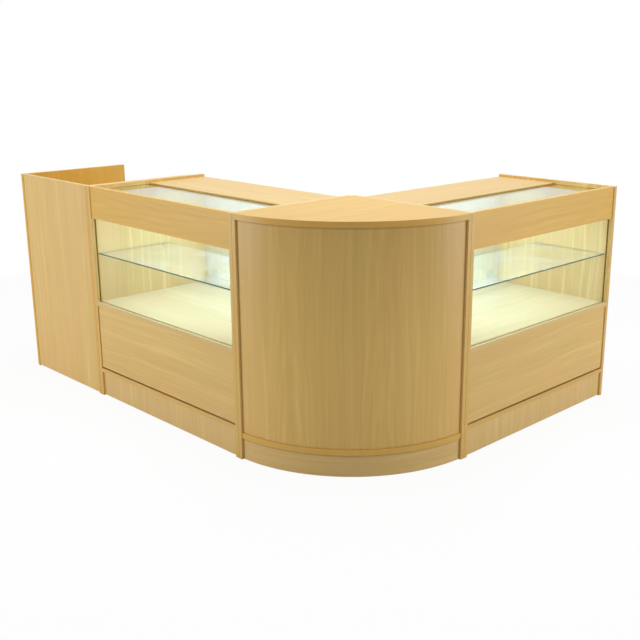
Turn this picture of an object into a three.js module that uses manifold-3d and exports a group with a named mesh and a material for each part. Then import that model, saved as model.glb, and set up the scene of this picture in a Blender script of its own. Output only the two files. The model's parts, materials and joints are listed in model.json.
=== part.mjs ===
// An L-shaped checkout counter for a shop: a till block, a half-glass showcase, a quadrant corner unit
// and a second, identical showcase. Millimetres, +Z up, the floor at z = 0, and the origin at the
// middle of the footprint's bounding box. The left wing runs along -X with its customer side facing
// -Y; the right wing runs along +Y with its customer side facing +X.
import * as THREE from "three";
import { mergeVertices } from "three/addons/utils/BufferGeometryUtils.js";
import Module from "manifold-3d";

const wasm = await Module();
wasm.setup();

// ---- Driving dimensions ----------------------------------------------------------------------
const HEIGHT = 950; // floor to the top of the panels
const DEPTH = 610; // customer side to staff side, showcases and corner
const CASE_WIDTH = 1000; // one showcase
const TILL_WIDTH = 600;
const TILL_DEPTH = 550; // customer side to staff side
const BOARD = 18; // melamine-faced board
const JOINT_GAP = 1; // between neighbouring units

const GLASS = 6; // every pane
const GROOVE_PLAY = 0.5; // groove wall to pane, each side
const GROOVE_DEPTH = 7;
const PANE_BITE = 6; // how far a pane enters its groove

const BASE_TOP = 130; // upper face of the base boards
const DECK_TOP = 438; // upper face of the display deck
const FASCIA_BOTTOM = 812;
const FASCIA_SETBACK = 4;
const LOWER_PANEL_SETBACK = 4;
const LOWER_PANEL_THICKNESS = 15;
const LOWER_PANEL_SIDE_GAP = 3; // shadow lines at its sides and foot
const LOWER_PANEL_FOOT_GAP = 6;
const PLINTH_SETBACK = 8;
const PLINTH_LIFT = 2; // clear of an uneven floor
const WORKTOP_DROP = 12; // worktop below the end panels' tops
const WORKTOP_DEPTH = 305;

const SHELF_BOTTOM = 650;
const SHELF_DEPTH = 360;
const SHELF_FRONT_GAP = 4; // behind the front glass
const SHELF_SIDE_GAP = 2;
const PEG_INSET = 26; // peg centre from the shelf's front and rear edges

const DOOR_THICKNESS = 6;
const DOOR_OVERLAP = 28;
const DOOR_END_PLAY = 1;
const TRACK_HEIGHT = 27;
const TRACK_FLOOR = 3;
const TRACK_WALL = 2;
const TRACK_MIDDLE_WALL = 4;
const TRACK_GROOVE = 8;
const TRACK_REAR_GAP = 1; // track to the unit's rear face
const DOOR_GLIDE = 0.5; // door foot above the track floor
const DOOR_TOP_BITE = 12; // door into the top track
const PULL = { length: 48, height: 34, fromEdge: 67, fromFoot: 42 }; // finger slot, right through

const LIGHT_LENGTH = 900;
const LIGHT_BOTTOM = 840;
const LIGHT_WIDTH = 24;
const LIGHT_HEIGHT = 16;
const LIGHT_WALL = 1.5;
const POD_LENGTH = 40; // solid block at the light's right end, which holds the switch
const POCKET = { length: 24, depth: 10, height: 14 };
const ROCKER_TILT = THREE.MathUtils.degToRad(8); // each way from level
const ROCKER_PIVOT_IN = 2.5; // pivot behind the pod's rear face
// The rocker's length, and its section's half heights and depths either side of the pivot.
const ROCKER = { length: 20, tall: 5.6, root: 3.5, back: 3, step: 2, tip: 3.4, waist: 2.4 };

const CORNER_BOARD = 22; // its quarter-round top and base boards
const CORNER_BASE_TOP = 110;
const CORNER_LIP_SETBACK = 3; // base board's rim behind the top's rim
const CORNER_FRONT_SETBACK = 8; // bent front and plinth
const CORNER_SKIN = 9;
const CORNER_SEAM = 0.3; // between a curved piece and a flat one
const FORMER_WIDTH = 90;
const FORMER_BOTTOM = 520;
const ARC_SEGMENTS = 60;

const TILL_WORKTOP_TOP = 760;
const TILL_FRONT_SETBACK = 2;
const TILL_FRONT_LIFT = 4;
const DRAWER_FRONT_HEIGHT = 118;
const DRAWER_GAP = 2;
const DRAWER_BOX = { wall: 12, floor: 6, height: 88, length: 450, lift: 12 };
const RUNNER = { thickness: 12, height: 36, length: 440, web: 2, play: 1 };
const SCOOP_RADIUS = 30;
const SCOOP_LIFT = 12; // scoop centre above the drawer front's top edge
const SCOOP_SEGMENTS = 48;

// ---- Materials -------------------------------------------------------------------------------
const finish = (color, roughness, metalness = 0) =>
  new THREE.MeshStandardMaterial({ color, roughness, metalness });
const maple = finish(0xd8b878, 0.45);
const glass = finish(0xcfe6dc, 0.05);
const aluminium = finish(0xc4c6c8, 0.35, 1);
const steel = finish(0xb5b8bb, 0.3, 1);
const opal = finish(0xfffbe8, 0.4);
const blackPlastic = finish(0x1c1c1e, 0.4);
const drawerBoard = finish(0xe9e4d8, 0.55);

const PAST = 1; // how far a cutting block runs past the face that it opens

// ---- Solids ----------------------------------------------------------------------------------
// A closed three.js geometry as a manifold-3d solid.
function solidOf(geometry) {
  const bare = geometry.clone().deleteAttribute("normal").deleteAttribute("uv");
  const merged = mergeVertices(bare);
  return new wasm.Manifold(
    new wasm.Mesh({
      numProp: 3,
      vertProperties: merged.attributes.position.array,
      triVerts: new Uint32Array(merged.index.array),
    }),
  );
}

function geometryOf(solid) {
  const mesh = solid.getMesh();
  const geometry = new THREE.BufferGeometry();
  geometry.setAttribute("position", new THREE.BufferAttribute(mesh.vertProperties, 3));
  geometry.setIndex(new THREE.BufferAttribute(mesh.triVerts, 1));
  geometry.computeVertexNormals();
  return geometry;
}

const subtract = (geometry, tools) =>
  geometryOf(tools.reduce((rest, tool) => rest.subtract(solidOf(tool)), solidOf(geometry)));

const join = (a, b) => geometryOf(solidOf(a).add(solidOf(b)));

const middle = ([low, high]) => (low + high) / 2;
const length = ([low, high]) => high - low;

// A box from its three ranges, placed in the unit's frame.
function block({ x, y, z }) {
  return new THREE.BoxGeometry(length(x), length(y), length(z)).translate(
    middle(x),
    middle(y),
    middle(z),
  );
}

// A named board centred on its own mesh. Cuts are geometries given in the unit's frame.
function board(name, ranges, material, cuts = []) {
  const centre = new THREE.Vector3(middle(ranges.x), middle(ranges.y), middle(ranges.z));
  const whole = block(ranges);
  const geometry = cuts.length ? subtract(whole, cuts) : whole;
  geometry.translate(-centre.x, -centre.y, -centre.z);
  const mesh = new THREE.Mesh(geometry, material);
  mesh.name = name;
  mesh.position.copy(centre);
  return mesh;
}

function named(name, geometry, material) {
  const mesh = new THREE.Mesh(geometry, material);
  mesh.name = name;
  return mesh;
}

// Extrudes a shape drawn in (y, z) along +X, from x = 0.
function extrudeAlongX(shape, span, curveSegments = 8) {
  const geometry = new THREE.ExtrudeGeometry(shape, {
    depth: span,
    bevelEnabled: false,
    curveSegments,
  });
  const [x, y, z] = [0, 1, 2].map((axis) => new THREE.Vector3().setComponent(axis, 1));
  return geometry.applyMatrix4(new THREE.Matrix4().makeBasis(y, z, x));
}

const polygon = (points) => new THREE.Shape(points.map(([u, v]) => new THREE.Vector2(u, v)));

// Extrudes a shape drawn in plan upwards between two heights.
function extrudeUp(shape, [low, high]) {
  const geometry = new THREE.ExtrudeGeometry(shape, {
    depth: high - low,
    bevelEnabled: false,
    curveSegments: ARC_SEGMENTS,
  });
  return geometry.translate(0, 0, low);
}

// ---- Showcase --------------------------------------------------------------------------------
// Unit frame: x from the middle, y = 0 at the staff side, customer side at y = -DEPTH.
const half = CASE_WIDTH / 2;
const inner = half - BOARD; // inner faces of the end panels
const front = -DEPTH;
const grooveEnd = inner + GROOVE_DEPTH;
const paneEnd = inner + PANE_BITE;
const between = [-inner, inner];

const fasciaY = [front + FASCIA_SETBACK, front + FASCIA_SETBACK + BOARD];
const worktopZ = [HEIGHT - WORKTOP_DROP - BOARD, HEIGHT - WORKTOP_DROP];
const deckZ = [DECK_TOP - BOARD, DECK_TOP];
const baseZ = [BASE_TOP - BOARD, BASE_TOP];

// The top glass lies in the middle third of the worktop's edge. The front glass lies in a rebate
// along the foot of the fascia's back.
const topGlassZ = [middle(worktopZ) - GLASS / 2, middle(worktopZ) + GLASS / 2];
const topGlassY = [fasciaY[1] - PANE_BITE, -WORKTOP_DEPTH + PANE_BITE];
const frontGlassY = [fasciaY[1] - GLASS, fasciaY[1]];
const DECK_GROOVE = 4;
const DECK_GROOVE_PLAY = 1;
const frontGlassZ = [DECK_TOP - DECK_GROOVE + DECK_GROOVE_PLAY, FASCIA_BOTTOM + PANE_BITE];
const widen = ([low, high], by) => [low - by, high + by];

const topGrooveCut = {
  x: [-grooveEnd, grooveEnd],
  y: [fasciaY[1] - GROOVE_DEPTH, -WORKTOP_DEPTH + GROOVE_DEPTH],
  z: widen(topGlassZ, GROOVE_PLAY),
};
const frontGrooveCut = {
  x: [-grooveEnd, grooveEnd],
  y: widen(frontGlassY, GROOVE_PLAY),
  z: [DECK_TOP - DECK_GROOVE, FASCIA_BOTTOM + GROOVE_DEPTH],
};

const shelfY = [
  frontGlassY[1] + SHELF_FRONT_GAP,
  frontGlassY[1] + SHELF_FRONT_GAP + SHELF_DEPTH,
];
const PEG = { shaft: 2.5, collar: 5, stub: 3.5, bore: 3 }; // radii
const PEG_IN_BOARD = 9;
const PEG_BORE_DEPTH = 10;
const PEG_COLLAR = [0.1, 1.5]; // clear of the board's face, to its outer side
const PEG_STUB_LENGTH = 11;
const PEG_CHAMFER = 1;
const PEG_SHELF_PLAY = 0.2;
const pegZ = SHELF_BOTTOM - PEG.stub - PEG_SHELF_PLAY;
const pegYs = { f: shelfY[0] + PEG_INSET, r: shelfY[1] - PEG_INSET };
const PEG_SEGMENTS = 20;

// A bore along X through the face x = inner of either end panel.
function pegBore(side, y) {
  const bore = new THREE.CylinderGeometry(PEG.bore, PEG.bore, 2 * PEG_BORE_DEPTH, PEG_SEGMENTS);
  return bore.rotateZ(Math.PI / 2).translate(side * inner, y, pegZ);
}

function endPanel(name, side) {
  const x = side < 0 ? [-half, -inner] : [inner, half];
  const bores = Object.values(pegYs).map((y) => pegBore(side, y));
  const cuts = [block(topGrooveCut), block(frontGrooveCut), ...bores];
  return board(name, { x, y: [front, 0], z: [0, HEIGHT] }, maple, cuts);
}

// A shelf peg: shaft in the panel, collar against its face, stub under the glass. Turned about X.
function shelfPeg(name, side, y) {
  const profile = [
    [0, -PEG_IN_BOARD],
    [PEG.shaft, -PEG_IN_BOARD],
    [PEG.shaft, PEG_COLLAR[0]],
    [PEG.collar, PEG_COLLAR[0]],
    [PEG.collar, PEG_COLLAR[1]],
    [PEG.stub, PEG_COLLAR[1]],
    [PEG.stub, PEG_STUB_LENGTH - PEG_CHAMFER],
    [PEG.stub - PEG_CHAMFER, PEG_STUB_LENGTH],
    [0, PEG_STUB_LENGTH],
  ].map(([radius, out]) => new THREE.Vector2(radius, out));
  const mesh = named(name, new THREE.LatheGeometry(profile, PEG_SEGMENTS), steel);
  mesh.rotation.z = side < 0 ? -Math.PI / 2 : Math.PI / 2;
  mesh.position.set(side * inner, y, pegZ);
  return mesh;
}

// A double channel for two sliding doors, opening upwards from z = 0.
function trackShape() {
  const wide = 2 * TRACK_WALL + 2 * TRACK_GROOVE + TRACK_MIDDLE_WALL;
  const g1 = TRACK_WALL + TRACK_GROOVE;
  const g2 = g1 + TRACK_MIDDLE_WALL;
  return polygon([
    [0, 0],
    [wide, 0],
    [wide, TRACK_HEIGHT],
    [wide - TRACK_WALL, TRACK_HEIGHT],
    [wide - TRACK_WALL, TRACK_FLOOR],
    [g2, TRACK_FLOOR],
    [g2, TRACK_HEIGHT],
    [g1, TRACK_HEIGHT],
    [g1, TRACK_FLOOR],
    [TRACK_WALL, TRACK_FLOOR],
    [TRACK_WALL, TRACK_HEIGHT],
    [0, TRACK_HEIGHT],
  ]);
}
const trackWidth = 2 * TRACK_WALL + 2 * TRACK_GROOVE + TRACK_MIDDLE_WALL;
const trackFront = -TRACK_REAR_GAP - trackWidth;

function bottomTrack(name) {
  const mesh = named(name, extrudeAlongX(trackShape(), 2 * inner), aluminium);
  mesh.position.set(-inner, trackFront, DECK_TOP);
  return mesh;
}

// The same channel turned over, under the worktop.
function topTrack(name) {
  const mesh = named(name, extrudeAlongX(trackShape(), 2 * inner), aluminium);
  mesh.rotation.x = Math.PI;
  mesh.position.set(-inner, -TRACK_REAR_GAP, worktopZ[0]);
  return mesh;
}

const doorWidth = (2 * inner - 2 * DOOR_END_PLAY + DOOR_OVERLAP) / 2;
const doorZ = [
  DECK_TOP + TRACK_FLOOR + DOOR_GLIDE,
  worktopZ[0] - TRACK_HEIGHT + DOOR_TOP_BITE,
];

// A round-ended slot through a door.
function pullSlot(x, y, z) {
  const radius = PULL.height / 2;
  const reach = PULL.length / 2 - radius;
  const shape = new THREE.Shape();
  shape.absarc(reach, 0, radius, -Math.PI / 2, Math.PI / 2, false);
  shape.absarc(-reach, 0, radius, Math.PI / 2, (3 * Math.PI) / 2, false);
  shape.closePath();
  const depth = 2 * DOOR_THICKNESS;
  const slot = new THREE.ExtrudeGeometry(shape, { depth, bevelEnabled: false, curveSegments: 12 });
  return slot.rotateX(Math.PI / 2).translate(x, y + depth / 2, z);
}

// The left door runs in the rear groove and the right one in the inner groove.
function slidingDoor(name, side) {
  const outer = side * (inner - DOOR_END_PLAY);
  const far = outer - side * doorWidth;
  const grooveCentre = TRACK_WALL + TRACK_GROOVE / 2;
  const fromRear = side < 0 ? grooveCentre : trackWidth - grooveCentre;
  const centre = -TRACK_REAR_GAP - fromRear;
  const y = [centre - DOOR_THICKNESS / 2, centre + DOOR_THICKNESS / 2];
  const x = [Math.min(outer, far), Math.max(outer, far)];
  const pullX = outer - side * PULL.fromEdge;
  return board(name, { x, y, z: doorZ }, maple, [pullSlot(pullX, centre, doorZ[0] + PULL.fromFoot)]);
}

// LED light behind the fascia: a channel that opens downwards, with a solid pod at its right end.
const lightY = [fasciaY[1], fasciaY[1] + LIGHT_WIDTH];
const lightX = [-LIGHT_LENGTH / 2, LIGHT_LENGTH / 2];
const podX = [lightX[1] - POD_LENGTH, lightX[1]];
const pocketX = [middle(podX) - POCKET.length / 2, middle(podX) + POCKET.length / 2];
const lightMiddleZ = LIGHT_BOTTOM + LIGHT_HEIGHT / 2;

function lightChannel(name) {
  const [w, h, t] = [LIGHT_WIDTH, LIGHT_HEIGHT, LIGHT_WALL];
  const section = polygon([
    [0, 0],
    [t, 0],
    [t, h - t],
    [w - t, h - t],
    [w - t, 0],
    [w, 0],
    [w, h],
    [0, h],
  ]);
  const channel = extrudeAlongX(section, LIGHT_LENGTH).translate(
    lightX[0],
    lightY[0],
    LIGHT_BOTTOM,
  );
  const pod = block({
    x: podX,
    y: lightY,
    z: [lightMiddleZ - LIGHT_WIDTH / 2, lightMiddleZ + LIGHT_WIDTH / 2],
  });
  const pocket = block({
    x: pocketX,
    y: [lightY[1] - POCKET.depth, lightY[1] + PAST],
    z: [lightMiddleZ - POCKET.height / 2, lightMiddleZ + POCKET.height / 2],
  });
  return named(name, subtract(join(channel, pod), [pocket]), aluminium);
}

// The opal lens: flat on top, a shallow bow underneath, clear of the channel's walls.
const LENS_PLAY = 0.3;
const LENS_SAG = 3;
function lightDiffuser(name) {
  const reach = LIGHT_WIDTH / 2 - LIGHT_WALL - LENS_PLAY;
  const radius = (reach ** 2 + LENS_SAG ** 2) / (2 * LENS_SAG);
  const angle = Math.asin(reach / radius);
  const shape = new THREE.Shape();
  shape.moveTo(reach, LENS_SAG);
  shape.lineTo(-reach, LENS_SAG);
  shape.lineTo(-reach, 0);
  shape.absarc(0, radius - LENS_SAG, radius, -Math.PI / 2 - angle, -Math.PI / 2 + angle, false);
  const span = LIGHT_LENGTH - POD_LENGTH - 2 * LENS_PLAY;
  const mesh = named(name, extrudeAlongX(shape, span, 12), opal);
  mesh.position.set(lightX[0] + LENS_PLAY, middle(lightY), LIGHT_BOTTOM);
  return mesh;
}

// The rocker at rest has its upper half pressed in, which is on.
function lightSwitch(name) {
  const { length: long, tall, root, back, step, tip, waist } = ROCKER;
  const section = polygon([
    [-back, -root],
    [step, -tall],
    [tip, -tall],
    [waist, 0],
    [tip, tall],
    [step, tall],
    [-back, root],
  ]);
  const geometry = extrudeAlongX(section, long).translate(-long / 2, 0, 0);
  const mesh = named(name, geometry, blackPlastic);
  mesh.position.set(middle(podX), lightY[1] - ROCKER_PIVOT_IN, lightMiddleZ);
  mesh.rotation.x = ROCKER_TILT;
  return mesh;
}

function showcase(unit) {
  const n = (piece) => `${unit}_${piece}`;
  const group = new THREE.Group();
  const lowerY = front + LOWER_PANEL_SETBACK;
  const plinthY = front + PLINTH_SETBACK;
  group.add(
    endPanel(n("end_panel_l"), -1),
    endPanel(n("end_panel_r"), 1),
    board(n("fascia"), { x: between, y: fasciaY, z: [FASCIA_BOTTOM, HEIGHT] }, maple, [
      block(topGrooveCut),
      block(frontGrooveCut),
    ]),
    board(n("worktop"), { x: between, y: [-WORKTOP_DEPTH, 0], z: worktopZ }, maple, [
      block(topGrooveCut),
    ]),
    board(n("top_glass"), { x: [-paneEnd, paneEnd], y: topGlassY, z: topGlassZ }, glass),
    board(n("front_glass"), { x: [-paneEnd, paneEnd], y: frontGlassY, z: frontGlassZ }, glass),
    board(n("deck"), { x: between, y: [front, 0], z: deckZ }, maple, [block(frontGrooveCut)]),
    board(n("base_board"), { x: between, y: [front, 0], z: baseZ }, maple),
    board(
      n("lower_panel"),
      {
        x: [-inner + LOWER_PANEL_SIDE_GAP, inner - LOWER_PANEL_SIDE_GAP],
        y: [lowerY, lowerY + LOWER_PANEL_THICKNESS],
        z: [BASE_TOP + LOWER_PANEL_FOOT_GAP, deckZ[0]],
      },
      maple,
    ),
    board(
      n("plinth"),
      { x: between, y: [plinthY, plinthY + BOARD], z: [PLINTH_LIFT, baseZ[0]] },
      maple,
    ),
    board(
      n("glass_shelf"),
      {
        x: [-inner + SHELF_SIDE_GAP, inner - SHELF_SIDE_GAP],
        y: shelfY,
        z: [SHELF_BOTTOM, SHELF_BOTTOM + GLASS],
      },
      glass,
    ),
    shelfPeg(n("shelf_peg_fl"), -1, pegYs.f),
    shelfPeg(n("shelf_peg_fr"), 1, pegYs.f),
    shelfPeg(n("shelf_peg_rl"), -1, pegYs.r),
    shelfPeg(n("shelf_peg_rr"), 1, pegYs.r),
    lightChannel(n("light_channel")),
    lightDiffuser(n("light_diffuser")),
    lightSwitch(n("light_switch")),
    bottomTrack(n("bottom_track")),
    topTrack(n("top_track")),
    slidingDoor(n("door_l"), -1),
    slidingDoor(n("door_r"), 1),
  );
  return group;
}

// ---- Corner unit -----------------------------------------------------------------------------
// Unit frame: the quadrant's centre, the staff-side corner, is at x = y = 0; it fills +X, -Y.
// The angle at which an arc of this radius meets a side panel's inner face.
const clipAngle = (radius, side) => Math.asin(side / radius);

// A pie slice between the two side panels.
function quadrant(radius, side) {
  const shape = new THREE.Shape();
  const clip = clipAngle(radius, side);
  shape.moveTo(side, -side);
  shape.lineTo(side, -radius * Math.cos(clip));
  shape.absarc(0, 0, radius, -Math.PI / 2 + clip, -clip, false);
  shape.closePath();
  return shape;
}

// A curved strip between the two side panels.
function bend(outer, thickness, side) {
  const insideRadius = outer - thickness;
  const shape = new THREE.Shape();
  const outerClip = clipAngle(outer, side);
  const innerClip = clipAngle(insideRadius, side);
  shape.absarc(0, 0, outer, -Math.PI / 2 + outerClip, -outerClip, false);
  shape.absarc(0, 0, insideRadius, -innerClip, -Math.PI / 2 + innerClip, true);
  shape.closePath();
  return shape;
}

function cornerUnit() {
  const group = new THREE.Group();
  const topZ = [HEIGHT - CORNER_BOARD, HEIGHT];
  const floorZ = [CORNER_BASE_TOP - CORNER_BOARD, CORNER_BASE_TOP];
  const seam = BOARD + CORNER_SEAM;
  const frontRadius = DEPTH - CORNER_FRONT_SETBACK;
  const formerRadius = frontRadius - CORNER_SKIN - CORNER_SEAM;
  const curved = (name, shape, z) => named(name, extrudeUp(shape, z), maple);
  group.add(
    curved("corner_top", quadrant(DEPTH, 0), topZ),
    board("corner_side_panel_l", { x: [0, BOARD], y: [front, 0], z: [0, topZ[0]] }, maple),
    board("corner_side_panel_r", { x: [BOARD, DEPTH], y: [-BOARD, 0], z: [0, topZ[0]] }, maple),
    curved("corner_curved_front", bend(frontRadius, CORNER_SKIN, seam), [floorZ[1], topZ[0]]),
    curved("corner_former", bend(formerRadius, FORMER_WIDTH, seam), [
      FORMER_BOTTOM,
      FORMER_BOTTOM + BOARD,
    ]),
    curved("corner_base_board", quadrant(DEPTH - CORNER_LIP_SETBACK, seam), floorZ),
    curved("corner_curved_plinth", bend(frontRadius, CORNER_SKIN, seam), [
      PLINTH_LIFT,
      floorZ[0],
    ]),
  );
  return group;
}

// ---- Till block ------------------------------------------------------------------------------
// Unit frame: x from the middle, y = 0 at the staff side, customer side at y = -TILL_DEPTH. High sides
// and front screen the till from customers.
function tillRunner(name, side, inside, z) {
  const { thickness, height, length: long, web } = RUNNER;
  const section = polygon([
    [0, 0],
    [thickness, 0],
    [thickness, web],
    [web, web],
    [web, height - web],
    [thickness, height - web],
    [thickness, height],
    [0, height],
  ]);
  const geometry = new THREE.ExtrudeGeometry(section, { depth: long, bevelEnabled: false });
  const mesh = named(name, geometry.rotateX(Math.PI / 2), steel);
  // The section's x is across, its y is up, and it runs towards -Y; the right one is turned about Z.
  if (side > 0) {
    geometry.rotateZ(Math.PI).translate(0, -long, 0);
  }
  mesh.position.set(side * inside, -BOARD - DRAWER_GAP, z);
  return mesh;
}

function tillBlock() {
  const group = new THREE.Group();
  const tillHalf = TILL_WIDTH / 2;
  const inside = tillHalf - BOARD;
  const frontY = [TILL_FRONT_SETBACK - TILL_DEPTH, TILL_FRONT_SETBACK - TILL_DEPTH + BOARD];
  const span = [-inside, inside];
  const worktop = [TILL_WORKTOP_TOP - BOARD, TILL_WORKTOP_TOP];
  const side = (name, x) => board(name, { x, y: [-TILL_DEPTH, 0], z: [0, HEIGHT] }, maple);

  const frontTop = worktop[0] - DRAWER_GAP;
  const drawerFrontZ = [frontTop - DRAWER_FRONT_HEIGHT, frontTop];
  const boxHalf = inside - RUNNER.thickness - RUNNER.play;
  const boxZ = [
    drawerFrontZ[0] + DRAWER_BOX.lift,
    drawerFrontZ[0] + DRAWER_BOX.lift + DRAWER_BOX.height,
  ];
  const boxY = [-BOARD - DRAWER_BOX.length, -BOARD];
  const hollow = block({
    x: [-boxHalf + DRAWER_BOX.wall, boxHalf - DRAWER_BOX.wall],
    y: [boxY[0] + DRAWER_BOX.wall, boxY[1] - DRAWER_BOX.wall],
    z: [boxZ[0] + DRAWER_BOX.floor, boxZ[1] + PAST],
  });
  const scoop = new THREE.CylinderGeometry(SCOOP_RADIUS, SCOOP_RADIUS, 3 * BOARD, SCOOP_SEGMENTS);
  scoop.translate(0, -BOARD / 2, drawerFrontZ[1] + SCOOP_LIFT);
  const runnerZ = middle(boxZ) - RUNNER.height / 2;

  group.add(
    side("till_side_panel_l", [-tillHalf, -inside]),
    side("till_side_panel_r", [inside, tillHalf]),
    board("till_front_panel", { x: span, y: frontY, z: [TILL_FRONT_LIFT, HEIGHT] }, maple),
    board("till_worktop", { x: span, y: [frontY[1], 0], z: worktop }, maple),
    board("till_base_shelf", { x: span, y: [frontY[1], 0], z: baseZ }, maple),
    board(
      "till_drawer_front",
      {
        x: [-inside + DRAWER_GAP, inside - DRAWER_GAP],
        y: [-BOARD, 0],
        z: drawerFrontZ,
      },
      maple,
      [scoop],
    ),
    board("till_drawer_box", { x: [-boxHalf, boxHalf], y: boxY, z: boxZ }, drawerBoard, [hollow]),
    tillRunner("till_runner_l", -1, inside, runnerZ),
    tillRunner("till_runner_r", 1, inside, runnerZ),
  );
  return group;
}

// ---- The counter -----------------------------------------------------------------------------
const leftCase = showcase("left_case");
leftCase.position.x = -JOINT_GAP - half;

const rightCase = showcase("right_case");
rightCase.rotation.z = Math.PI / 2;
rightCase.position.y = JOINT_GAP + half;

const till = tillBlock();
till.position.x = leftCase.position.x - half - JOINT_GAP - TILL_WIDTH / 2;
till.position.y = TILL_DEPTH - DEPTH; // flush with the showcase on the customer side

// Moves the staff-side corner so that the origin is the middle of the footprint's bounding box.
const lowX = till.position.x - TILL_WIDTH / 2;
const highY = rightCase.position.y + half;
const footprint = new THREE.Group();
footprint.position.set(-(lowX + DEPTH) / 2, -(highY - DEPTH) / 2, 0);
footprint.add(till, leftCase, cornerUnit(), rightCase);

const counter = new THREE.Group();
counter.add(footprint);
export default counter;
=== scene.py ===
"""The looks of an L-shaped checkout counter: maple-effect board, glass, lit showcases, a rounded corner.

Metres, +Z up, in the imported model's own frame. The left wing's customer side faces -Y, the right wing's
faces +X, and the staff stand in the corner between them.
"""

import json
import math

import bmesh
import bpy
from mathutils import Matrix, Vector


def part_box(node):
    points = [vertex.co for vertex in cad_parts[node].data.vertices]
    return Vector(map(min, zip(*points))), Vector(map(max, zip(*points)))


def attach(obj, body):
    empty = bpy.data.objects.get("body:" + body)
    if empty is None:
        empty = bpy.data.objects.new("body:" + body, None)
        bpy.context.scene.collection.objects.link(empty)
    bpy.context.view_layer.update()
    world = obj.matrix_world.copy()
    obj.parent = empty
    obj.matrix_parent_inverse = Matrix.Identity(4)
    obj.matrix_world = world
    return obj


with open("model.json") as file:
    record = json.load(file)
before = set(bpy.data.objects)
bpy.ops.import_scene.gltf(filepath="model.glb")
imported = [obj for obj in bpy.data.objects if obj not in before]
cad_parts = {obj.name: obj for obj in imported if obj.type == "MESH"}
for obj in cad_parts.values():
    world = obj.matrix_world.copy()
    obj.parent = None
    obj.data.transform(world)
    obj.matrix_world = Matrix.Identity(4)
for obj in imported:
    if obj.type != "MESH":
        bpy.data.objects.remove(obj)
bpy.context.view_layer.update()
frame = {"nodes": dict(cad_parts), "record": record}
nodes = frame["nodes"]

MM = 0.001
AXES = (Vector((1, 0, 0)), Vector((0, 1, 0)), Vector((0, 0, 1)))
CASES = ("left_case", "right_case")

# The staff-side corner, where the two wings' rear faces meet: the centre of the corner unit's curve.
corner_low, corner_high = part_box("corner_top")
HUB = Vector((corner_low.x, corner_high.y, 0))
CORNER_RADIUS = corner_high.x - corner_low.x
BOARD = 18 * MM  # thickness of the flat boards


# ---- Node materials ---------------------------------------------------------------------------
class Shader:
    """Builds one node material. A value may be a number, a colour, a vector or another node's socket."""

    def __init__(self, name):
        self.material = bpy.data.materials.new(name)
        self.material.use_nodes = True
        self.tree = self.material.node_tree
        self.tree.nodes.clear()

    def add(self, kind, inputs=(), out=0, **settings):
        """Adds a node, sets or links its inputs by name or index, and returns one output socket."""
        node = self.tree.nodes.new(kind)
        for key, value in settings.items():
            setattr(node, key, value)
        for key, value in dict(inputs).items():
            self.feed(node.inputs[key], value)
        return node.outputs[out]

    def feed(self, socket, value):
        if isinstance(value, bpy.types.NodeSocket):
            self.tree.links.new(value, socket)
        else:
            socket.default_value = value

    def math(self, operation, *values, clamp=False):
        return self.add("ShaderNodeMath", enumerate(values), operation=operation, use_clamp=clamp)

    def length(self, a, b):
        """The length of a flat vector."""
        squares = (self.math("POWER", side, 2.0) for side in (a, b))
        return self.math("SQRT", self.math("ADD", *squares))

    def fade(self, value, start, end):
        """0 where value is at start, 1 where it is at end, smooth in between."""
        inputs = {"Value": value, "From Min": start, "From Max": end}
        return self.add("ShaderNodeMapRange", inputs, interpolation_type="SMOOTHSTEP")

    def mix(self, factor, a, b, blend="MIX"):
        inputs = {0: factor, 6: a, 7: b}
        return self.add("ShaderNodeMix", inputs, 2, data_type="RGBA", blend_type=blend)

    def vector(self, x, y, z):
        return self.add("ShaderNodeCombineXYZ", {0: x, 1: y, 2: z})

    def noise(self, vector, scale=1.0, detail=2.0, roughness=0.5, distortion=0.0):
        inputs = {
            "Vector": vector,
            "Scale": scale,
            "Detail": detail,
            "Roughness": roughness,
            "Distortion": distortion,
        }
        return self.add("ShaderNodeTexNoise", inputs)

    def place(self):
        """The point's x, y and z in the piece's own frame, which is the model's frame at rest."""
        point = self.add("ShaderNodeTexCoord", out="Object")
        split = self.add("ShaderNodeSeparateXYZ", {0: point}).node
        return [split.outputs[i] for i in range(3)]

    def own(self, name):
        """A number kept on the object itself."""
        return self.add("ShaderNodeAttribute", out="Fac", attribute_type="OBJECT", attribute_name=name)

    def tilt(self, axis):
        """1 on faces that look along the axis, -1 on faces that look the other way."""
        normal = self.add("ShaderNodeTexCoord", out="Normal")
        return self.add("ShaderNodeVectorMath", {0: normal, 1: axis}, "Value", operation="DOT_PRODUCT")

    def facing(self, axis):
        """1 on faces across the axis, 0 on faces along it."""
        return self.math("ABSOLUTE", self.tilt(axis))

    def bump(self, height, distance, strength=1.0):
        inputs = {"Height": height, "Distance": distance, "Strength": strength}
        return self.add("ShaderNodeBump", inputs)

    def surface(self, shader):
        output = self.tree.nodes.new("ShaderNodeOutputMaterial")
        self.feed(output.inputs["Surface"], shader)
        return self.material

    def principled(self, **inputs):
        named = {key.replace("_", " "): value for key, value in inputs.items()}
        return self.surface(self.add("ShaderNodeBsdfPrincipled", named))


def colour(red, green, blue):
    return (red, green, blue, 1.0)


def edge_distance(shader, place):
    """How far a point on a box-shaped board is from the nearest edge, from the corners kept on the object."""
    gaps = []
    for axis, letter in enumerate("xyz"):
        low = shader.math("SUBTRACT", place[axis], shader.own(f"low_{letter}"))
        high = shader.math("SUBTRACT", shader.own(f"high_{letter}"), place[axis])
        gaps.append(shader.math("MINIMUM", low, high))
    smaller = shader.math("MINIMUM", gaps[0], gaps[1])
    larger = shader.math("MAXIMUM", gaps[0], gaps[1])
    return shader.math("MAXIMUM", smaller, shader.math("MINIMUM", larger, gaps[2]))


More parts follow.
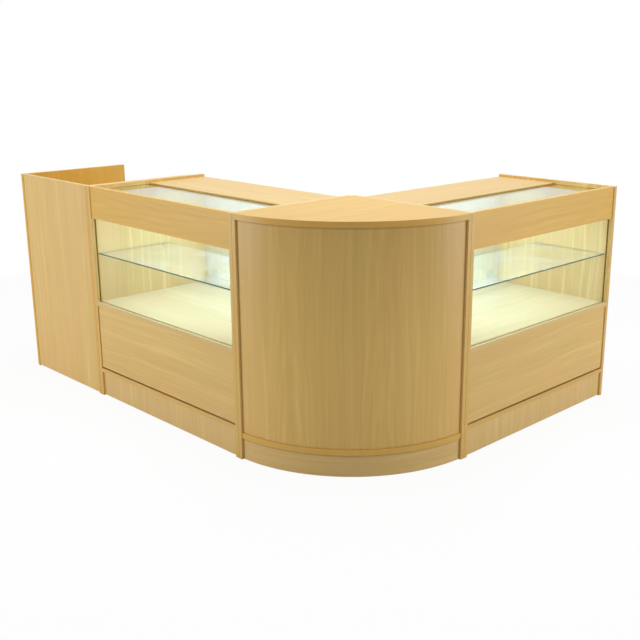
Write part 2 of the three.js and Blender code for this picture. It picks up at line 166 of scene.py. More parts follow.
# ---- Wood -------------------------------------------------------------------------------------
MAPLE_LIGHT = colour(0.90, 0.635, 0.235)
MAPLE_DARK = colour(0.66, 0.42, 0.115)
MAPLE_PINK = colour(0.80, 0.505, 0.185)
EDGE_BAND = colour(0.76, 0.47, 0.095)
EDGE_ROSE = colour(0.71, 0.41, 0.085)
EDGE_LIT_ABOVE = colour(0.93, 0.69, 0.32)  # an upward edge, paler: a painted highlight from the light above
PALE_BATCH = colour(0.94, 1.13, 1.92)  # what a batch of board does to the colours above
WARM_BATCH = colour(0.94, 0.83, 0.38)
# Painted shade for the bent boards' seams, beside the side panels and under the overhang above.
SEAM_SHADE = colour(0.27, 0.15, 0.04)
WORN_PALE = colour(0.88, 0.70, 0.40)
GLUE_BROWN = colour(0.42, 0.27, 0.10)

RING_SPACING = 0.012
RING_DRIFT = 9.0  # how far, in radians, the rings wander
HEART_SPACING = 0.17  # half the distance between the hearts of two neighbouring flat-sawn figures
HEART_DEPTH = 0.045  # how far below the face the growth rings are centred
HEART_TAPER = 0.05  # how much deeper they get for each metre along the grain
TAPER_LENGTH = 1.1  # along the grain, from the shallow end of a figure to its deep end
WANDER = 0.055  # how far the whole figure drifts sideways
# Cells to the metre along and across the grain, and the noise's detail.
SHADE_BANDS = (0.6, 17.0, 2.0)
FINE_BANDS = (1.1, 110.0, 2.0)
FIBRE = (5.0, 420.0, 4.0)
FLECKS = (34.0, 620.0, 1.0)
FLAMES = (1.6, 46.0, 2.0)
MIDDLE_TONE = 0.43
RING_WEIGHT = 0.05
FLECK_WEIGHT = 0.24

BENT_TOP_SHADE = colour(0.91, 0.91, 0.92)  # painted shade: the bent boards are darker at counter height
BENT_SHADE_HEIGHTS = (0.40, 0.93)  # the painted shade grows between these heights
SEAM_SHADE_FADE = (0.011, 0.001)  # how far the painted shade spreads from a seam, beside the side panels and under the overhang above
GLUE_FADE = (0.0007, 0.0)  # the brown glue line between a board's face and its edge band
WORN_FADE = (0.0028, 0.0)  # how far in from an arris a board is rubbed pale


def grain(shader, along, across, depth):
    """Tone from 0 (dark) to 1 (light), fine fibre from 0 to 1, and a broad pink patch mask."""

    def streaks(along_scale, across_scale, detail):
        """Noise drawn out along the grain."""
        place = shader.vector(
            shader.math("MULTIPLY", along, along_scale), shader.math("MULTIPLY", bent, across_scale), depth
        )
        return shader.noise(place, detail=detail, roughness=0.55)

    seed = shader.own("seed")
    along = shader.math("MULTIPLY_ADD", seed, 7.7, along)
    across = shader.math("MULTIPLY_ADD", seed, 3.3, across)
    slow = shader.vector(
        shader.math("MULTIPLY", along, 1.5), shader.math("MULTIPLY", across, 3.0), depth
    )
    drift = shader.noise(slow)
    bent = shader.math("MULTIPLY_ADD", drift, WANDER, across)

    # Flat-sawn rings: cylinders round a tapering heart, so that long arches appear over it.
    offset = shader.math("PINGPONG", bent, HEART_SPACING)
    taper = shader.math("PINGPONG", along, TAPER_LENGTH)
    rise = shader.math("MULTIPLY_ADD", taper, HEART_TAPER, HEART_DEPTH)
    turns = shader.math("MULTIPLY", shader.length(offset, rise), 2 * math.pi / RING_SPACING)
    turns = shader.math("MULTIPLY_ADD", drift, RING_DRIFT, turns)
    rings = shader.math("MULTIPLY", shader.math("SINE", turns), shader.fade(offset, 0.13, 0.03))

    fibre = streaks(*FIBRE)
    flecks = shader.fade(streaks(*FLECKS), 0.64, 0.78)
    flames = shader.fade(streaks(*FLAMES), 0.50, 0.70)
    tone = shader.math("MULTIPLY_ADD", rings, RING_WEIGHT, MIDDLE_TONE)
    for layer, weight in ((streaks(*SHADE_BANDS), 0.60), (streaks(*FINE_BANDS), 0.45), (fibre, 0.50)):
        tone = shader.math("MULTIPLY_ADD", shader.math("SUBTRACT", layer, 0.5), weight, tone)
    tone = shader.math("MULTIPLY_ADD", flames, shader.own("flame"), tone)
    tone = shader.math("SUBTRACT", tone, shader.math("MULTIPLY", flecks, FLECK_WEIGHT), clamp=True)
    patch_place = shader.vector(
        shader.math("MULTIPLY", along, 0.7), shader.math("MULTIPLY", bent, 11.0), seed
    )
    return tone, fibre, shader.fade(shader.noise(patch_place), 0.42, 0.66)


def maple_surface(shader, along, across, depth, edge, rim, shaded_seam=None, top_shade=0.0):
    """The printed maple finish.

    edge is 1 on edge band, rim is the distance to the nearest edge, the seam distance is how far a point
    is from a seam, near which shade is painted, and the top shade is 1 where the shade painted towards
    the top is strongest; rim and the seam distance can be None.
    """
    tone, fibre, patch = grain(shader, along, across, depth)
    face = shader.mix(tone, MAPLE_DARK, MAPLE_LIGHT)
    face = shader.mix(shader.math("MULTIPLY", patch, 0.55), face, MAPLE_PINK)
    band = shader.mix(0.25, shader.mix(shader.own("seed"), EDGE_BAND, EDGE_ROSE), face)
    # Painted highlight: edge band that faces up is paler.
    above = shader.math("MULTIPLY", shader.fade(shader.tilt(AXES[2]), 0.6, 0.9), 0.8)
    band = shader.mix(above, band, EDGE_LIT_ABOVE)
    finish = shader.mix(edge, face, band)
    batch = shader.mix(shader.own("warmth"), PALE_BATCH, WARM_BATCH)
    finish = shader.mix(1.0, finish, batch, "MULTIPLY")
    # Painted shade: a bent board is darker towards its top.
    finish = shader.mix(top_shade, finish, BENT_TOP_SHADE, "MULTIPLY")
    roughness = shader.math("MULTIPLY_ADD", fibre, 0.16, 0.30)
    if rim is not None:
        rubbed = shader.noise(shader.vector(along, across, depth), scale=55.0, detail=3.0)
        worn = shader.math("MULTIPLY", shader.fade(rim, *WORN_FADE), shader.fade(rubbed, 0.45, 0.75))
        glue = shader.math("MULTIPLY", shader.fade(rim, *GLUE_FADE), 0.35)
        finish = shader.mix(shader.math("MULTIPLY", worn, 0.30), finish, WORN_PALE)
        finish = shader.mix(glue, finish, GLUE_BROWN)
        roughness = shader.math("MULTIPLY_ADD", worn, 0.12, roughness)
    # Painted shade: darker towards a seam, standing in for the shadow in the recess beside the side panels
    # and under the overhang.
    if shaded_seam is not None:
        finish = shader.mix(shader.math("MULTIPLY", shader.fade(shaded_seam, *SEAM_SHADE_FADE), 0.6), finish, SEAM_SHADE)
    return shader.principled(
        Base_Color=finish,
        Roughness=roughness,
        IOR=1.47,
        Normal=shader.bump(fibre, 0.00012, 0.5),
    )


board_materials = {}


def board_material(thickness_axis, grain_axis):
    """Maple-effect board, one material for each way that a board can lie."""
    key = (thickness_axis, grain_axis)
    if key not in board_materials:
        shader = Shader("maple_{}{}".format(*("xyz"[axis] for axis in key)))
        place = shader.place()
        across_axis = 3 - thickness_axis - grain_axis
        edge = shader.fade(shader.facing(AXES[thickness_axis]), 0.80, 0.60)
        board_materials[key] = maple_surface(
            shader,
            place[grain_axis],
            place[across_axis],
            place[thickness_axis],
            edge,
            edge_distance(shader, place),
        )
    return board_materials[key]


def bent_material(name, grain_upright):
    """Maple-effect skin bent round the hub, with the grain upright or along the curve."""
    shader = Shader("maple_" + name)
    x, y, z = shader.place()
    out_x = shader.math("SUBTRACT", x, HUB.x)
    out_y = shader.math("SUBTRACT", y, HUB.y)
    arc = shader.math("MULTIPLY", shader.math("ARCTAN2", out_y, out_x), CORNER_RADIUS)
    radius = shader.length(out_x, out_y)
    along, across = (z, arc) if grain_upright else (arc, z)
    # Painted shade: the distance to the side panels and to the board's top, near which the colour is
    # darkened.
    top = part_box(name)[1].z
    inwards = shader.math("MULTIPLY", out_y, -1.0)
    beside = shader.math("SUBTRACT", shader.math("MINIMUM", out_x, inwards), BOARD)
    shaded_seam = shader.math("MINIMUM", beside, shader.math("SUBTRACT", top, z))
    # The colour is also painted darker towards the top, as shade.
    return maple_surface(shader, along, across, radius, 0.0, None, shaded_seam, shader.fade(z, *BENT_SHADE_HEIGHTS))


# ---- Other materials ---------------------------------------------------------------------------
BOTH_FACES = 1.7  # what a pane's two faces reflect together, against one of them


def outer_reflection(shader):
    """How much a pane reflects: both faces are counted where a ray enters, and nothing where it leaves."""
    slant = shader.add("ShaderNodeFresnel", {"IOR": 1.5})
    leaving = shader.add("ShaderNodeNewGeometry", out="Backfacing")
    both = shader.math("MULTIPLY", slant, BOTH_FACES, clamp=True)
    return shader.math("MULTIPLY", both, shader.math("SUBTRACT", 1.0, leaving))


FACE_TINT = colour(0.975, 0.992, 0.984)
MIRROR_TINT = colour(0.94, 0.94, 0.84)
THROUGH_EDGE = (colour(0.06, 0.22, 0.19), colour(0.14, 0.36, 0.31))  # light through a polished edge
OFF_EDGE = (colour(0.012, 0.075, 0.05), colour(0.03, 0.14, 0.10))  # light thrown back by one
EDGE_COVER = 0.96  # how much of an edge is the second of these
DUST = colour(0.72, 0.86, 0.95)
SHELF_FILM = 0.085  # how much of each face of a shelf is hazed with dust
FAR_RIM = 0.12  # how strong a pane's edge looks from inside the pane, against 1 from outside


def glass_material(name, thickness_axis):
    """A thin pane: clear faces that reflect at a slant, a faint dusty film, and deep green polished edges."""
    shader = Shader(name)
    place = shader.place()
    edge = shader.fade(shader.facing(AXES[thickness_axis]), 0.75, 0.55)
    point = shader.vector(*place)
    smear = shader.noise(point, scale=6.0, detail=5.0, roughness=0.65, distortion=1.2)
    behind = shader.add("ShaderNodeNewGeometry", out="Backfacing")
    near_edge = shader.math("MULTIPLY", edge, shader.math("MULTIPLY_ADD", behind, FAR_RIM - 1.0, 1.0))
    clear = shader.mix(near_edge, FACE_TINT, shader.mix(smear, *THROUGH_EDGE))
    gloss = shader.math("MULTIPLY_ADD", shader.fade(smear, 0.35, 0.8), 0.035, 0.004)
    through = shader.add("ShaderNodeBsdfTransparent", {"Color": clear})
    mirror = shader.add("ShaderNodeBsdfGlossy", {"Color": MIRROR_TINT, "Roughness": gloss})
    pane = shader.add("ShaderNodeMixShader", {0: outer_reflection(shader), 1: through, 2: mirror})
    dust = shader.add("ShaderNodeBsdfDiffuse", {"Color": DUST})
    dusty = shader.math("MULTIPLY", shader.fade(smear, 0.2, 0.8), shader.own("film"))
    pane = shader.add("ShaderNodeMixShader", {0: dusty, 1: pane, 2: dust})
    rim_inputs = {"Base Color": shader.mix(smear, *OFF_EDGE), "Roughness": 0.12}
    rim = shader.add("ShaderNodeBsdfPrincipled", rim_inputs)
    covered = shader.math("MULTIPLY", near_edge, EDGE_COVER)
    return shader.surface(shader.add("ShaderNodeMixShader", {0: covered, 1: pane, 2: rim}))


def streaked_metal(name, tint, along_axis, roughness):
    """Metal drawn or brushed along one axis."""
    shader = Shader(name)
    stretch = [900.0, 900.0, 900.0]
    stretch[along_axis] = 9.0
    place = shader.place()
    streak_place = shader.vector(*(shader.math("MULTIPLY", p, s) for p, s in zip(place, stretch)))
    streak = shader.noise(streak_place, detail=3.0, roughness=0.6)
    cloud = shader.noise(shader.vector(*place), scale=9.0, detail=3.0)
    shade = shader.mix(streak, colour(*(c * 0.82 for c in tint)), colour(*tint))
    return shader.principled(
        Base_Color=shader.mix(shader.math("MULTIPLY", cloud, 0.2), shade, colour(0.5, 0.51, 0.53)),
        Metallic=1.0,
        Roughness=shader.math("MULTIPLY_ADD", streak, 0.2, roughness),
        Normal=shader.bump(streak, 0.00003, 0.6),
    )


def moulded_plastic(name, tint, roughness):
    """Spark-eroded plastic with a fine even texture."""
    shader = Shader(name)
    point = shader.vector(*shader.place())
    fine = shader.noise(point, scale=1800.0)
    cloud = shader.noise(point, scale=40.0, detail=3.0)
    pale = colour(*(min(1.0, c * 1.25 + 0.01) for c in tint))
    return shader.principled(
        Base_Color=shader.mix(cloud, colour(*tint), pale),
        Roughness=shader.math("MULTIPLY_ADD", fine, 0.18, roughness),
        Normal=shader.bump(fine, 0.00006, 0.5),
    )


LAMP_TINT = (0.60, 1.05, 1.80)  # cool white seen through faintly green glass
LAMP_GLOW = 1.6


def opal_material():
    """The lit diffuser, a little dimmer at its ends and along its seams."""
    shader = Shader("opal_lens")
    point = shader.vector(*shader.place())
    cloud = shader.noise(point, scale=30.0, detail=3.0)
    return shader.principled(
        Base_Color=colour(0.9, 0.9, 0.86),
        Roughness=0.4,
        Emission_Color=shader.mix(cloud, colour(0.75, 0.97, 1.0), colour(0.85, 1.0, 1.0)),
        Emission_Strength=shader.math("MULTIPLY_ADD", cloud, 0.8, LAMP_GLOW),
    )


WEAVE = 5200.0  # radians of the linen weave to the metre


def drawer_board_material():
    """Pale foil-wrapped drawer board with a faint linen weave."""
    shader = Shader("drawer_board")
    x, y, z = shader.place()
    weave_a = shader.math("SINE", shader.math("MULTIPLY", shader.math("ADD", x, y), WEAVE))
    weave_b = shader.math("SINE", shader.math("MULTIPLY", z, WEAVE))
    weave = shader.math("MULTIPLY", weave_a, weave_b)
    cloud = shader.noise(shader.vector(x, y, z), scale=14.0, detail=4.0)
    base = shader.mix(cloud, colour(0.74, 0.71, 0.64), colour(0.84, 0.82, 0.76))
    return shader.principled(
        Base_Color=shader.mix(shader.math("MULTIPLY_ADD", weave, 0.05, 0.05), base, colour(0.6, 0.57, 0.5)),
        Roughness=0.55,
        Normal=shader.bump(weave, 0.00004, 0.4),
    )


# ---- Carried-over CAD nodes ---------------------------------------------------------------------
def soft_normals_group():
    """Drops the imported custom normals and shades smooth across shallow angles only."""
    group = bpy.data.node_groups.new("soft_normals", "GeometryNodeTree")
    group.interface.new_socket("Geometry", in_out="INPUT", socket_type="NodeSocketGeometry")
    group.interface.new_socket("Geometry", in_out="OUTPUT", socket_type="NodeSocketGeometry")
    make = group.nodes.new
    link = group.links.new
    start = make("NodeGroupInput")
    bare = make("GeometryNodeRemoveAttribute")
    bare.inputs["Name"].default_value = "custom_normal"
    smooth = make("GeometryNodeSetShadeSmooth")
    sharp = make("GeometryNodeSetShadeSmooth")
    sharp.domain = "EDGE"
    sharp.inputs["Shade Smooth"].default_value = False
    angle = make("GeometryNodeInputMeshEdgeAngle")
    steep = make("FunctionNodeCompare")
    steep.operation = "GREATER_THAN"
    steep.inputs[1].default_value = math.radians(25)
    end = make("NodeGroupOutput")
    link(start.outputs[0], bare.inputs["Geometry"])
    link(bare.outputs[0], smooth.inputs["Geometry"])
    link(smooth.outputs[0], sharp.inputs["Geometry"])
    link(angle.outputs["Unsigned Angle"], steep.inputs[0])
    link(steep.outputs[0], sharp.inputs["Selection"])
    link(sharp.outputs[0], end.inputs[0])
    return group


SOFT_NORMALS = soft_normals_group()


def finish_edges(piece, width, segments=2):
    """Welds the mesh, merges its flat triangles, and eases its arrises with a small round."""
    weld = piece.modifiers.new("weld", "WELD")
    weld.merge_threshold = 0.01 * MM
    flat = piece.modifiers.new("flat", "DECIMATE")
    flat.decimate_type = "DISSOLVE"
    flat.angle_limit = math.radians(0.3)
    normals = piece.modifiers.new("normals", "NODES")
    normals.node_group = SOFT_NORMALS
    arris = piece.modifiers.new("arris", "BEVEL")
    arris.width = width
    arris.segments = segments
    arris.limit_method = "ANGLE"
    arris.angle_limit = math.radians(40)
    arris.harden_normals = True


# How warm each board's print is, from 0 (pale) to 1 (deep), by the end of its name.
WARMTH = {
    "fascia": 1.0,
    "till_side_panel_l": 1.0,
    "till_side_panel_r": 0.9,
    "till_front_panel": 0.68,
    "corner_base_board": 0.78,
    "corner_top": 0.80,
    "curved_front": 0.76,
    "curved_plinth": 0.56,
    "case_plinth": 0.58,
    "lower_panel": 0.70,
    "worktop": 0.52,
    "deck": 0.24,
    "door_l": 0.0,
    "door_r": 0.0,
}
USUAL_WARMTH = 0.64
USUAL_FLAME = 0.26  # how strong the pale streaks along the grain are
BOLD_FLAME = 0.62
SEED_STEP = 0.618034  # the golden ratio's fraction, which spreads the boards' seeds evenly


def keep_box(piece, index):
    """Keeps on the object the numbers that the board materials read."""
    corners = [Vector(corner) for corner in piece.bound_box]
    for axis, letter in enumerate("xyz"):
        piece[f"low_{letter}"] = min(corner[axis] for corner in corners)
        piece[f"high_{letter}"] = max(corner[axis] for corner in corners)
    piece["seed"] = (index * SEED_STEP) % 1.0
    matches = (warmth for ending, warmth in WARMTH.items() if piece.name.endswith(ending))
    piece["warmth"] = next(matches, USUAL_WARMTH)
    piece["flame"] = BOLD_FLAME if "end_panel" in piece.name else USUAL_FLAME


def paint(piece, material):
    piece.material_slots[0].link = "OBJECT"
    piece.material_slots[0].material = material


def lying(node):
    """(thickness axis, longest axis) of a board."""
    low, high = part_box(node)
    size = high - low
    order = sorted(range(3), key=lambda axis: size[axis])
    return order[0], order[2]


UPRIGHT_GRAIN = ("plinth", "door_l", "door_r")
# The bent boards, and whether each one's grain is upright.
CURVED = {"corner_curved_front": True, "corner_curved_plinth": False, "corner_former": False}
BOARD_ARRIS = 0.7 * MM
GLASS_ARRIS = 0.5 * MM
METAL_ARRIS = 0.3 * MM


def dress_board(name, index):
    piece = nodes[name]
    keep_box(piece, index)
    if name in CURVED:
        paint(piece, bent_material(name, CURVED[name]))
    else:
        thickness, longest = lying(name)
        upright = name.endswith(UPRIGHT_GRAIN) and thickness != 2
        paint(piece, board_material(thickness, 2 if upright else longest))
    finish_edges(piece, BOARD_ARRIS)


METALS = {"zinc_steel": ((0.62, 0.63, 0.65), 0.22), "aluminium_profile": ((0.72, 0.73, 0.74), 0.30)}


def dress_metal(name, slot):
    _, longest = lying(name)
    tint, roughness = METALS[slot]
    paint(nodes[name], streaked_metal("metal_" + name, tint, longest, roughness))
    finish_edges(nodes[name], METAL_ARRIS)


def dress_nodes():
    glass = [glass_material("glass_" + letter, axis) for axis, letter in enumerate("xyz")]
    opal = opal_material()
    black = moulded_plastic("black_plastic", (0.012, 0.012, 0.014), 0.35)
    pale = drawer_board_material()
    slots = {row["node"]: row["material_slot"] for row in frame["record"]["subparts"]}
    for index, name in enumerate(sorted(nodes)):
        piece = nodes[name]
        slot = slots[name]
        if slot == "maple_board":
            dress_board(name, index)
        elif slot in METALS:
            dress_metal(name, slot)
        elif slot == "clear_glass":
            piece["film"] = SHELF_FILM if name.endswith("glass_shelf") else 0.0
            paint(piece, glass[lying(name)[0]])
            finish_edges(piece, GLASS_ARRIS)
        else:
            paint(piece, {"opal_lens": opal, "black_plastic": black, "drawer_board": pale}[slot])
            finish_edges(piece, METAL_ARRIS)


dress_nodes()


# ---- Fittings made here -------------------------------------------------------------------------
def case_ways(case):
    """A showcase's directions: along its front, from its l to its r end, and towards the staff side."""
    low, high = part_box(case + "_fascia")
    if high.x - low.x > high.y - low.y:
        return Vector((1, 0, 0)), Vector((0, 1, 0))
    return Vector((0, 1, 0)), Vector((-1, 0, 0))


def loft(shape, rings):
    """Adds to a bmesh one closed skin through rings of equally many points, with a flat cap at each end."""
    rows = [[shape.verts.new(point) for point in ring] for ring in rings]
    for row, following in zip(rows, rows[1:]):
        for k in range(len(row)):
            after = (k + 1) % len(row)
            shape.faces.new((row[k], row[after], following[after], following[k]))
    shape.faces.new(list(reversed(rows[0])))
    shape.faces.new(rows[-1])


def piece_from(name, body, material, skins, soft_angle=35):
    """One new piece made of closed skins. Each skin is a list of rings."""
    shape = bmesh.new()
    for rings in skins:
        loft(shape, rings)
    bmesh.ops.recalc_face_normals(shape, faces=shape.faces)
    for face in shape.faces:
        face.smooth = True
    for edge in shape.edges:
        edge.smooth = edge.calc_face_angle(0.0) < math.radians(soft_angle)
    mesh = bpy.data.meshes.new(name)
    shape.to_mesh(mesh)
    shape.free()
    mesh.materials.append(material)
    piece = bpy.data.objects.new(name, mesh)
    bpy.context.scene.collection.objects.link(piece)
    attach(piece, body)
    return piece


CORNER_STEPS = 10


def rounded_outline(half_long, half_high, radius):
    """Points (u, w) round a rectangle with round corners."""
    points = []
    for turn, (su, sw) in enumerate(((1, 1), (-1, 1), (-1, -1), (1, -1))):
        for step in range(CORNER_STEPS + 1):
            angle = (turn + step / CORNER_STEPS) * math.pi / 2
            u = su * (half_long - radius) + radius * math.cos(angle)
            w = sw * (half_high - radius) + radius * math.sin(angle)
            points.append((u, w))
    return points


def outline_rings(profile, half_long, half_high, radius, centre, along, out):
    """Rings of a rounded rectangle: the profile gives each ring's growth and its distance along out."""
    up = Vector((0, 0, 1))
    return [
        [
            centre + along * u + up * w + out * distance
            for u, w in rounded_outline(half_long + growth, half_high + growth, radius + growth)
        ]
        for growth, distance in profile
    ]


TURN_STEPS = 40


def turned_rings(profile, centre, axis):
    """Rings of a turned shape: the profile gives each ring's radius and its distance along the axis."""
    side = Vector((0, 0, 1))
    other = axis.cross(side)
    return [
        [
            centre
            + axis * distance
            + (side * math.cos(angle) + other * math.sin(angle)) * radius
            for angle in (2 * math.pi * k / TURN_STEPS for k in range(TURN_STEPS))
        ]
        for radius, distance in profile
    ]


def in_metres(profile):
    return [(a * MM, b * MM) for a, b in profile]


PULL_FROM_EDGE = 67 * MM  # slot centre from the door's outer edge
PULL_FROM_FOOT = 42 * MM
PULL_HALF = (24 * MM, 17 * MM)  # the slot's half length and half height, with fully round ends
DOOR_THICKNESS = 6  # the profile below is in millimetres
# Growth past the slot's outline, and depth from the showcase's side of the door to the staff side.
PULL_PROFILE = (
    (-3.0, -0.8),
    (2.0, -0.8),
    (2.6, -0.3),
    (2.6, -0.02),
    (-0.15, -0.02),
    (-0.15, DOOR_THICKNESS + 0.02),
    (2.6, DOOR_THICKNESS + 0.02),
    (2.6, DOOR_THICKNESS + 0.3),
    (2.0, DOOR_THICKNESS + 0.8),
    (-0.9, DOOR_THICKNESS + 0.8),
    (-1.4, DOOR_THICKNESS + 0.3),
    (-1.9, 1.4),
    (-2.7, 0.6),
    (-4.0, 0.5),
)


def make_pulls(material):
    """The moulded finger pull in each sliding door: a flush plate inside, a cup on the staff side."""
    for case in CASES:
        along, staff = case_ways(case)
        for end, way in (("l", along), ("r", -along)):
            low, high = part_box(f"{case}_door_{end}")
            middle = (low + high) / 2
            half = (high - low) / 2
            half_width = abs(half.dot(along))
            centre = middle - way * (half_width - PULL_FROM_EDGE) - staff * abs(half.dot(staff))
            centre.z = low.z + PULL_FROM_FOOT
            rings = outline_rings(
                in_metres(PULL_PROFILE), PULL_HALF[0], PULL_HALF[1], PULL_HALF[1], centre, along, staff
            )
            body = case.replace("case", f"door_{end}")
            piece_from(f"{case}_pull_{end}", body, material, [rings])


LIGHT_CAP_HALF = (12 * MM, 8 * MM)
LIGHT_CAP_RADIUS = 2 * MM
LIGHT_CAP_PROFILE = ((-1.4, 0.02), (0.0, 0.02), (0.0, 1.0), (-0.5, 1.5), (-3.0, 1.7))


def make_light_caps(material):
    """The moulded cap on the light channel's plain end."""
    for case in CASES:
        along, staff = case_ways(case)
        low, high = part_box(case + "_light_channel")
        middle = (low + high) / 2
        end = middle - along * abs((high - low).dot(along)) / 2
        rings = outline_rings(
            in_metres(LIGHT_CAP_PROFILE), *LIGHT_CAP_HALF, LIGHT_CAP_RADIUS, end, staff, -along
        )
        piece_from(case + "_light_end_cap", "counter", material, [rings])


ROLLER_PROFILE = (
    (2.0, 0.8),
    (6.0, 0.8),
    (7.0, 0.2),
    (12.6, 0.2),
    (13.2, 0.8),
    (14.0, 0.8),
    (15.4, 1.6),
    (15.4, 7.0),
    (14.4, 8.0),
    (5.0, 8.0),
    (4.2, 8.6),
    (4.2, 11.2),
    (2.0, 11.2),
)
ROLLER_WEB = 2 * MM  # the channel's web, which the roller runs beside
ROLLER_FROM_REAR = 22 * MM


def make_rollers(material):
    """The nylon roller at the far end of each side of the drawer, running inside the channel."""
    drawer_low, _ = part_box("till_drawer_box")
    for side, way in (("l", 1), ("r", -1)):
        low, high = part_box("till_runner_" + side)
        outer = low.x if way > 0 else high.x
        centre = Vector((outer + way * ROLLER_WEB, drawer_low.y + ROLLER_FROM_REAR, (low.z + high.z) / 2))
        rings = turned_rings(in_metres(ROLLER_PROFILE), centre, Vector((way, 0, 0)))
        piece_from("till_drawer_roller_" + side, "till_drawer", material, [rings])


JOIN_CAP_PROFILE = (
    (9.0, 0.05),
    (9.0, 0.9),
    (8.2, 1.7),
    (7.0, 1.9),
    (6.4, 1.7),
    (3.0, 1.9),
    (1.0, 1.95),
)
JOIN_INSETS = (70 * MM, 490 * MM)  # from the customer side
JOIN_HEIGHTS = (200 * MM, 370 * MM)
# The panels that are screwed to a neighbour, and which way each one's screw heads face along the wing.
JOINED_PANELS = (
    ("till_side_panel_r", "left_case", -1),
    ("left_case_end_panel_l", "left_case", 1),
    ("left_case_end_panel_r", "left_case", -1),
    ("right_case_end_panel_l", "right_case", 1),
)


def make_join_caps(material):
    """The caps over the heads of the screws that hold neighbouring units together, four to a panel."""
    for panel, case, sign in JOINED_PANELS:
        along, staff = case_ways(case)
        low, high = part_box(panel)
        middle = (low + high) / 2
        half = (high - low) / 2
        face = middle + along * sign * abs(half.dot(along)) - staff * abs(half.dot(staff))
        skins = []
        for inset in JOIN_INSETS:
            for height in JOIN_HEIGHTS:
                centre = face + staff * inset
                centre.z = height
                skins.append(turned_rings(in_metres(JOIN_CAP_PROFILE), centre, along * sign))
        piece_from(panel + "_join_caps", "counter", material, skins)


make_pulls(moulded_plastic("pull_plastic", (0.26, 0.33, 0.38), 0.36))
make_light_caps(moulded_plastic("light_cap_plastic", (0.62, 0.63, 0.63), 0.40))
make_rollers(moulded_plastic("roller_nylon", (0.74, 0.74, 0.70), 0.30))
make_join_caps(moulded_plastic("cap_plastic", (0.58, 0.38, 0.13), 0.42))


# ---- Floor, light and camera --------------------------------------------------------------------
FLOOR_RADIUS = 60.0
FLOOR_FADE = (1.7, 3.2)  # from the floor's own shading to plain white
FLOOR_LIFT = 0.94  # how much of the floor's shading is hidden even close by
MIRRORED_FLOOR = 0.7  # its level in a reflection
FLOOR_PALE = colour(0.93, 0.93, 0.92)
FLOOR_BOUNCE = colour(0.95, 0.95, 0.95)  # the light that it throws back up on the counter
WHITE = colour(1.0, 1.0, 1.0)


def make_floor():
    """A pale floor that fades to plain white away from the counter."""
    mesh = bpy.data.meshes.new("floor")
    shape = bmesh.new()
    bmesh.ops.create_circle(shape, cap_ends=True, segments=96, radius=FLOOR_RADIUS)
    shape.to_mesh(mesh)
    shape.free()
    floor = bpy.data.objects.new("floor", mesh)
    bpy.context.scene.collection.objects.link(floor)
    shader = Shader("floor_white")
    x, y, _ = shader.place()
    reach = shader.length(x, y)
    # 1 for a ray that the camera or a mirror sends, 0 for one that gathers soft light.
    seen = shader.math("SUBTRACT", 1.0, shader.add("ShaderNodeLightPath", out="Is Diffuse Ray"))
    matt = shader.add("ShaderNodeBsdfDiffuse", {"Color": shader.mix(seen, FLOOR_BOUNCE, FLOOR_PALE)})
    mirrored = shader.add("ShaderNodeLightPath", out="Is Glossy Ray")
    level = shader.math("MULTIPLY_ADD", mirrored, MIRRORED_FLOOR - 1.0, 1.0)
    white = shader.add("ShaderNodeEmission", {"Color": WHITE, "Strength": level})
    plain = shader.math("MAXIMUM", shader.fade(reach, *FLOOR_FADE), FLOOR_LIFT)
    far = shader.math("MULTIPLY", plain, seen)
    whole = shader.add("ShaderNodeMixShader", {0: far, 1: matt, 2: white})
    mesh.materials.append(shader.surface(whole))


ROOM_LEVEL = 0.29  # how much soft light the white room gives
MIRRORED_SKY = 0.76  # the room's level in a reflection
SEEN_SKY = 1.0  # and its level behind the counter


def make_world():
    world = bpy.data.worlds.new("studio")
    bpy.context.scene.world = world
    world.use_nodes = True
    tree = world.node_tree
    tree.nodes.clear()
    path = tree.nodes.new("ShaderNodeLightPath")
    background = tree.nodes.new("ShaderNodeBackground")
    background.inputs["Color"].default_value = WHITE
    level = background.inputs["Strength"]
    for ray, seen in (("Is Camera Ray", SEEN_SKY), ("Is Glossy Ray", MIRRORED_SKY)):
        lift = tree.nodes.new("ShaderNodeMath")
        lift.operation = "MULTIPLY_ADD"
        tree.links.new(path.outputs[ray], lift.inputs[0])
        lift.inputs[1].default_value = seen - ROOM_LEVEL
        tree.links.new(lift.outputs[0], level)
        level = lift.inputs[2]
    level.default_value = ROOM_LEVEL
    output = tree.nodes.new("ShaderNodeOutputWorld")
    tree.links.new(background.outputs[0], output.inputs[0])


def area_light(name, place, way, up, size, power, tint=(1.0, 1.0, 1.0)):
    """A soft rectangular light that shines along way, with its second size, its height, towards up."""
    lamp = bpy.data.lights.new(name, "AREA")
    lamp.shape = "RECTANGLE"
    lamp.size, lamp.size_y = size
    lamp.energy = power
    lamp.color = tint
    light = bpy.data.objects.new(name, lamp)
    z = -way.normalized()
    x = up.cross(z).normalized()
    light.matrix_world = Matrix.Translation(place) @ Matrix((x, z.cross(x), z)).transposed().to_4x4()
    bpy.context.scene.collection.objects.link(light)
    return light


SIDE_LIGHT_TURN = math.radians(36)  # each softbox stands this far outside its wing's square-on line
SIDE_LIGHT_REACH = 5.0
SIDE_LIGHT_RISE = 0.08  # its height above the aim, as a part of the reach
SIDE_LIGHT_SIZE = (2.6, 1.6)
SIDE_LIGHT_POWER = 68
AIM = HUB + Vector((0, 0, 0.45))
OVERHEAD_PLACE = HUB + Vector((-0.25, 0.25, 3.6))
OVERHEAD_SIZE = (3.0, 3.0)
OVERHEAD_POWER = 102


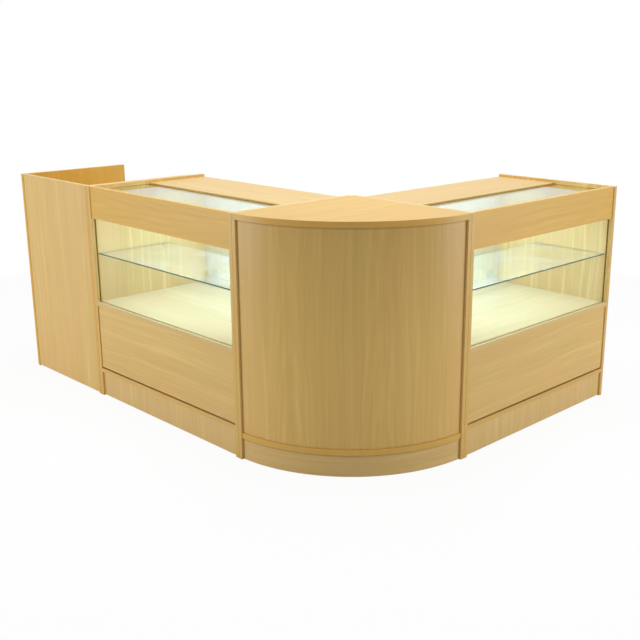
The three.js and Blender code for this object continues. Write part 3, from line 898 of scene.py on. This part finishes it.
def make_studio():
    """Two softboxes, one for each wing, a big overhead one and a white room."""
    s, c = math.sin(SIDE_LIGHT_TURN), math.cos(SIDE_LIGHT_TURN)
    for name, x, y in (("softbox_left", -s, -c), ("softbox_right", c, s)):
        out = Vector((x, y, SIDE_LIGHT_RISE)) * SIDE_LIGHT_REACH
        area_light(name, AIM + out, -out, AXES[2], SIDE_LIGHT_SIZE, SIDE_LIGHT_POWER)
    area_light("overhead", OVERHEAD_PLACE, -AXES[2], AXES[1], OVERHEAD_SIZE, OVERHEAD_POWER)
    make_world()


LAMP_POWER = 0.9
LAMP_SPAN = 0.80  # the bright part of a diffuser's length
LAMP_WIDTH = 20 * MM
LAMP_LEAN = 0.25  # how far the light leans to the staff side for each unit down
LAMP_DROP = 2 * MM  # below the diffuser
FILL_POWER = 4.1  # what the pale inside of a showcase throws back, given off under its worktop
FILL_SPAN = (0.92, 0.75)  # of the worktop's length and depth
FILL_DROP = 4 * MM  # below the worktop


def under(node, drop):
    """The middle of a node's underside, lowered by drop."""
    low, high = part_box(node)
    place = (low + high) / 2
    place.z = low.z - drop
    return place


def make_case_lights():
    """The light that each diffuser throws down into its showcase, and a fill under the worktop."""
    for case in CASES:
        along, staff = case_ways(case)
        low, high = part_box(case + "_light_diffuser")
        size = ((high - low).dot(along) * LAMP_SPAN, LAMP_WIDTH)
        place = under(case + "_light_diffuser", LAMP_DROP)
        way = staff * LAMP_LEAN - AXES[2]
        area_light(case + "_glow", place, way, staff, size, LAMP_POWER, LAMP_TINT)
        low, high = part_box(case + "_worktop")
        size = ((high - low).dot(along) * FILL_SPAN[0], abs((high - low).dot(staff)) * FILL_SPAN[1])
        place = under(case + "_worktop", FILL_DROP)
        fill = area_light(case + "_fill", place, -AXES[2], staff, size, FILL_POWER, LAMP_TINT)
        fill.visible_camera = False
        fill.visible_glossy = False


CAMERA_YAW = math.radians(45.17)
CAMERA_PITCH = math.radians(15.64)
CAMERA_REACH = 3.793  # level distance from the hub
CAMERA_HEIGHT = 1.505
CAMERA_LENS = 53.3
CAMERA_SENSOR = 36.0
CAMERA_SHIFT = (-0.045, -0.0045)


def make_camera():
    """A camera out past the bent front, on the line that halves the corner."""
    data = bpy.data.cameras.new("camera")
    data.lens = CAMERA_LENS
    data.sensor_width = CAMERA_SENSOR
    data.shift_x, data.shift_y = CAMERA_SHIFT
    camera = bpy.data.objects.new("camera", data)
    bpy.context.scene.collection.objects.link(camera)
    out = Vector((1, -1, 0)).normalized()
    right = Vector((math.cos(CAMERA_YAW), math.sin(CAMERA_YAW), 0))
    level = Vector((-math.sin(CAMERA_YAW), math.cos(CAMERA_YAW), 0))
    ahead = level * math.cos(CAMERA_PITCH) - Vector((0, 0, math.sin(CAMERA_PITCH)))
    turn = Matrix((right, right.cross(ahead), -ahead)).transposed()
    place = HUB + out * CAMERA_REACH + Vector((0, 0, CAMERA_HEIGHT))
    camera.matrix_world = Matrix.Translation(place) @ turn.to_4x4()
    bpy.context.scene.camera = camera


make_floor()
make_studio()
make_case_lights()
make_camera()

scene = bpy.context.scene
scene.view_settings.view_transform = "Standard"
scene.cycles.transparent_max_bounces = 24  # a ray can cross many pane faces
scene.cycles.max_bounces = 10
scene.cycles.sample_clamp_indirect = 6.0
